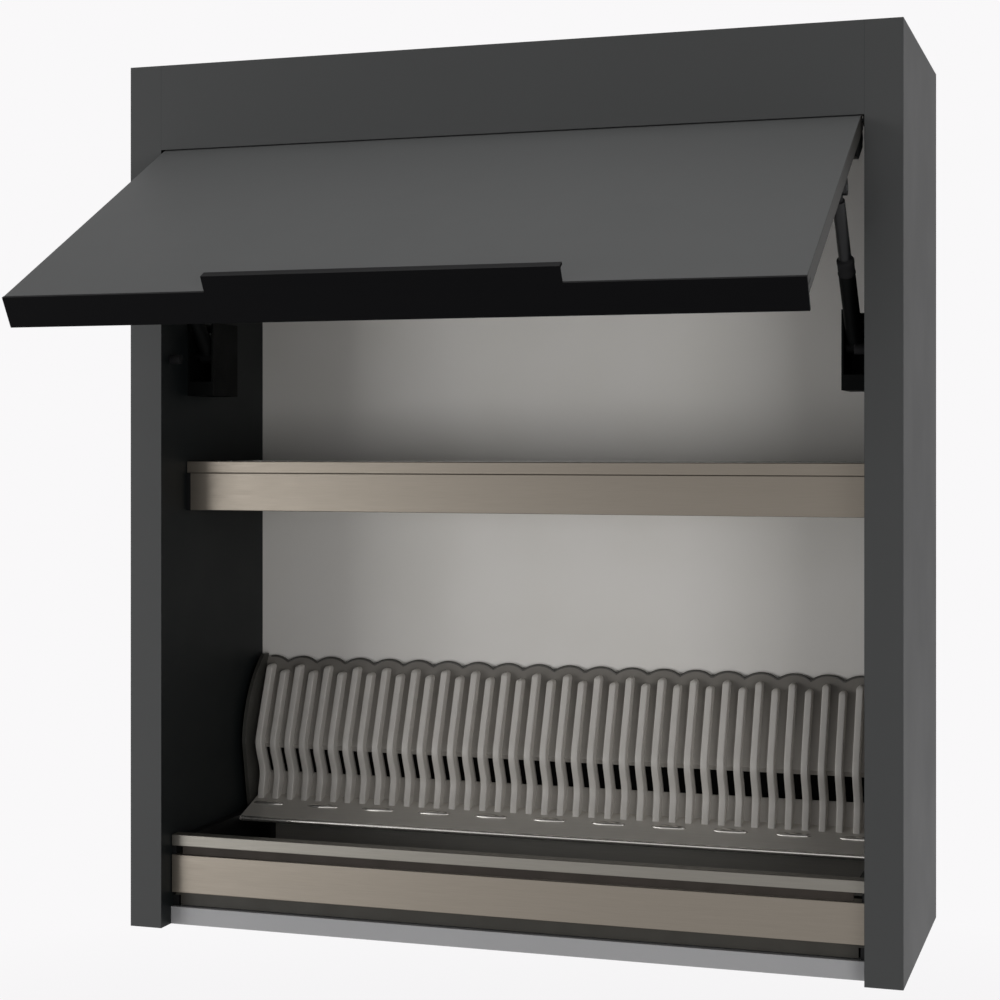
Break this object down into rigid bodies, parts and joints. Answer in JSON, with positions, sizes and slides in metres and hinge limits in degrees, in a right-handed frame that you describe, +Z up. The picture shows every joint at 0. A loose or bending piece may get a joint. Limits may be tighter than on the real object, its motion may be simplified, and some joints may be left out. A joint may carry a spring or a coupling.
{
  "type": "wall cabinet dish drainer",
  "caption": "Wall-hung dish drainer cabinet: lift-up flap on gas struts, glass shelf with tray and wire grid, lift-off plate rack with divider fins, pull-out drip tray.",
  "frame": {"origin": "centre of the four wall screws of the two hanging plates, on the wall plane, 820 mm above the underside", "axes": "+X to the right seen from the front, +Y into the wall, +Z up"},
  "size_m": [0.8, 0.6155, 0.9],
  "materials": {
    "anthracite_board": "matt lacquered board",
    "light_grey_board": "satin laminate",
    "raw_board": "raw particle board",
    "beech": "turned beech",
    "champagne_aluminium": "anodised, fine brushed",
    "black_aluminium": "black anodised",
    "black_plastic": "moulded, fine grain",
    "rack_plastic": "moulded, satin",
    "tray_plastic": "moulded, glossy",
    "black_steel": "black enamel",
    "zinc_steel": "bright zinc",
    "stainless_wire": "polished wire",
    "nylon": "moulded",
    "black_rubber": "soft matt"
  },
  "bodies": {
    "cabinet": {"left_side_panel": "anthracite_board", "right_side_panel": "anthracite_board", "top_panel": "anthracite_board", "top_fascia": "anthracite_board", "bottom_panel": "light_grey_board", "back_panel": "light_grey_board", "back_rail": "raw_board", "carcass_dowels": "beech", "wall_plates": "zinc_steel", "hanger_housings": "black_plastic", "hanger_hooks": "zinc_steel", "hanger_screws": "zinc_steel", "hanger_caps": "nylon", "pivot_bushes": "nylon", "flap_buffers": "black_rubber", "left_strut_base": "black_steel", "right_strut_base": "black_steel", "left_strut_cover": "black_plastic", "right_strut_cover": "black_plastic", "strut_base_screws": "zinc_steel", "upper_front_profile": "champagne_aluminium", "upper_rear_profile": "champagne_aluminium", "upper_left_bracket": "black_plastic", "upper_right_bracket": "black_plastic", "upper_bracket_screws": "zinc_steel", "lower_front_profile": "champagne_aluminium", "lower_rear_profile": "champagne_aluminium", "lower_left_bracket": "black_plastic", "lower_right_bracket": "black_plastic", "lower_bracket_screws": "zinc_steel", "tray_runners": "black_plastic"},
    "flap": {"flap_panel": "anthracite_board", "flap_edge_strips": "black_aluminium", "flap_grip": "black_aluminium", "pivot_pins": "zinc_steel", "strut_brackets": "black_steel", "strut_head_pins": "zinc_steel", "flap_screws": "zinc_steel"},
    "left_rod": {"left_strut_rod": "black_steel", "left_rod_end": "black_plastic"},
    "right_rod": {"right_strut_rod": "black_steel", "right_rod_end": "black_plastic"},
    "left_cylinder": {"left_strut_cylinder": "black_steel"},
    "right_cylinder": {"right_strut_cylinder": "black_steel"},
    "upper_tray": {"upper_tray": "tray_plastic", "upper_tray_trim": "champagne_aluminium"},
    "glass_grid": {"glass_grid": "stainless_wire"},
    "drip_tray": {"drip_tray": "tray_plastic"},
    "plate_rack": {"rack_front_rail": "champagne_aluminium", "rack_side_arms": "black_plastic", "rack_base": "rack_plastic", "rack_web": "rack_plastic", "divider_fins": "rack_plastic", "rack_end_cheeks": "rack_plastic"}
  },
  "joints": [
    {"name": "flap_hinge", "type": "hinge", "parent": "cabinet", "child": "flap", "pos_m": [0, -0.294, -0.013], "axis": [1, 0, 0], "range_deg": [0, 60.5]},
    {"name": "left_rod_pivot", "type": "hinge", "parent": "flap", "child": "left_rod", "pos_m": [-0.3455, -0.34689, -0.08199], "axis": [1, 0, 0], "range_deg": [-87.04, 0.5]},
    {"name": "left_strut_slide", "type": "slide", "parent": "left_rod", "child": "left_cylinder", "axis": [0, -0.662, 0.7495], "range_m": [-0.0005, 0.0529]},
    {"name": "right_rod_pivot", "type": "hinge", "parent": "flap", "child": "right_rod", "pos_m": [0.3455, -0.34689, -0.08199], "axis": [1, 0, 0], "range_deg": [-87.04, 0.5]},
    {"name": "right_strut_slide", "type": "slide", "parent": "right_rod", "child": "right_cylinder", "axis": [0, -0.662, 0.7495], "range_m": [-0.0005, 0.0529]},
    {"name": "upper_tray_lift", "type": "slide", "parent": "cabinet", "child": "upper_tray", "axis": [0, 0, 1], "range_m": [0, 0.03]},
    {"name": "glass_grid_lift", "type": "slide", "parent": "upper_tray", "child": "glass_grid", "axis": [0, 0, 1], "range_m": [0, 0.03]},
    {"name": "drip_tray_pull", "type": "slide", "parent": "cabinet", "child": "drip_tray", "axis": [0, -1, 0], "range_m": [0, 0.2]},
    {"name": "plate_rack_lift", "type": "slide", "parent": "cabinet", "child": "plate_rack", "axis": [0, 0, 1], "range_m": [0, 0.03]}
  ],
  "couplings": [
    {"joint": "left_rod_pivot", "follows": "flap_hinge", "ratio": -1.4304},
    {"joint": "left_strut_slide", "follows": "flap_hinge", "m_per_rad": 0.049621},
    {"joint": "right_rod_pivot", "follows": "flap_hinge", "ratio": -1.4304},
    {"joint": "right_strut_slide", "follows": "flap_hinge", "m_per_rad": 0.049621}
  ]
}
